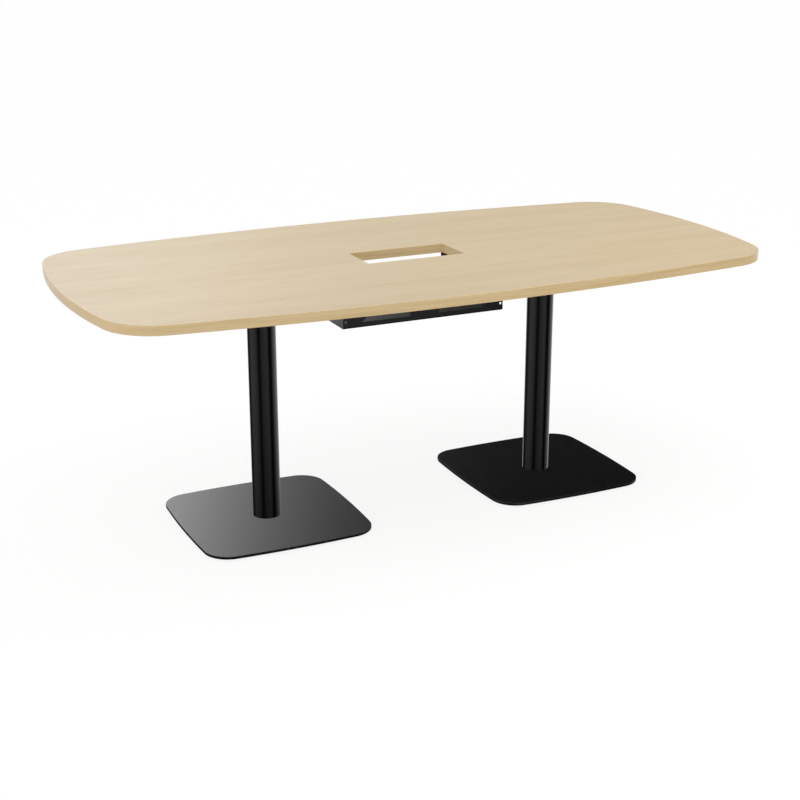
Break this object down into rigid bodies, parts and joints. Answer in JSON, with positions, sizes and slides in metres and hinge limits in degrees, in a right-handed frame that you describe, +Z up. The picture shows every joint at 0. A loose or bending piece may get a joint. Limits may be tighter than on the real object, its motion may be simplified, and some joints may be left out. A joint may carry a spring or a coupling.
{
  "type": "meeting table",
  "caption": "Meeting table with a barrel-shaped wood-effect top and a cable cut-out, on column pedestals with flat square base plates and levelling glides, with a cable tray below.",
  "frame": {"origin": "on the floor, under the middle of the table top", "axes": "+X along the table's length, +Y across it away from the side that the tray's front holes face, +Z up"},
  "size_m": [2, 1, 0.736],
  "materials": {
    "wood_laminate": "matte",
    "edge_band": "satin",
    "black_powder_coat": "satin",
    "plain_steel": "plain",
    "zinc_plated_steel": "zinc plated",
    "insert_metal": "plain",
    "glide_plastic": "matte"
  },
  "bodies": {
    "table": {"top_board": "wood_laminate", "top_edge_band": "edge_band", "cutout_edge_band": "edge_band", "cable_tray": "black_powder_coat", "tray_screws": "zinc_plated_steel", "left_base_plate": "black_powder_coat", "left_column_tube": "black_powder_coat", "left_column_foot_disc": "plain_steel", "left_column_head_disc": "plain_steel", "left_head_plate": "black_powder_coat", "left_base_bolts": "zinc_plated_steel", "left_head_bolts": "zinc_plated_steel", "left_top_screws": "zinc_plated_steel", "left_top_inserts": "insert_metal", "right_base_plate": "black_powder_coat", "right_column_tube": "black_powder_coat", "right_column_foot_disc": "plain_steel", "right_column_head_disc": "plain_steel", "right_head_plate": "black_powder_coat", "right_base_bolts": "zinc_plated_steel", "right_head_bolts": "zinc_plated_steel", "right_top_screws": "zinc_plated_steel", "right_top_inserts": "insert_metal"},
    "left_glide_1": {"left_glide_pad_1": "glide_plastic", "left_glide_stud_1": "zinc_plated_steel"},
    "left_glide_2": {"left_glide_pad_2": "glide_plastic", "left_glide_stud_2": "zinc_plated_steel"},
    "left_glide_3": {"left_glide_pad_3": "glide_plastic", "left_glide_stud_3": "zinc_plated_steel"},
    "left_glide_4": {"left_glide_pad_4": "glide_plastic", "left_glide_stud_4": "zinc_plated_steel"},
    "right_glide_1": {"right_glide_pad_1": "glide_plastic", "right_glide_stud_1": "zinc_plated_steel"},
    "right_glide_2": {"right_glide_pad_2": "glide_plastic", "right_glide_stud_2": "zinc_plated_steel"},
    "right_glide_3": {"right_glide_pad_3": "glide_plastic", "right_glide_stud_3": "zinc_plated_steel"},
    "right_glide_4": {"right_glide_pad_4": "glide_plastic", "right_glide_stud_4": "zinc_plated_steel"}
  },
  "joints": [
    {"name": "left_glide_1_height", "type": "slide", "parent": "table", "child": "left_glide_1", "axis": [0, 0, -1], "range_m": [0, 0.004]},
    {"name": "left_glide_2_height", "type": "slide", "parent": "table", "child": "left_glide_2", "axis": [0, 0, -1], "range_m": [0, 0.004]},
    {"name": "left_glide_3_height", "type": "slide", "parent": "table", "child": "left_glide_3", "axis": [0, 0, -1], "range_m": [0, 0.004]},
    {"name": "left_glide_4_height", "type": "slide", "parent": "table", "child": "left_glide_4", "axis": [0, 0, -1], "range_m": [0, 0.004]},
    {"name": "right_glide_1_height", "type": "slide", "parent": "table", "child": "right_glide_1", "axis": [0, 0, -1], "range_m": [0, 0.004]},
    {"name": "right_glide_2_height", "type": "slide", "parent": "table", "child": "right_glide_2", "axis": [0, 0, -1], "range_m": [0, 0.004]},
    {"name": "right_glide_3_height", "type": "slide", "parent": "table", "child": "right_glide_3", "axis": [0, 0, -1], "range_m": [0, 0.004]},
    {"name": "right_glide_4_height", "type": "slide", "parent": "table", "child": "right_glide_4", "axis": [0, 0, -1], "range_m": [0, 0.004]}
  ]
}
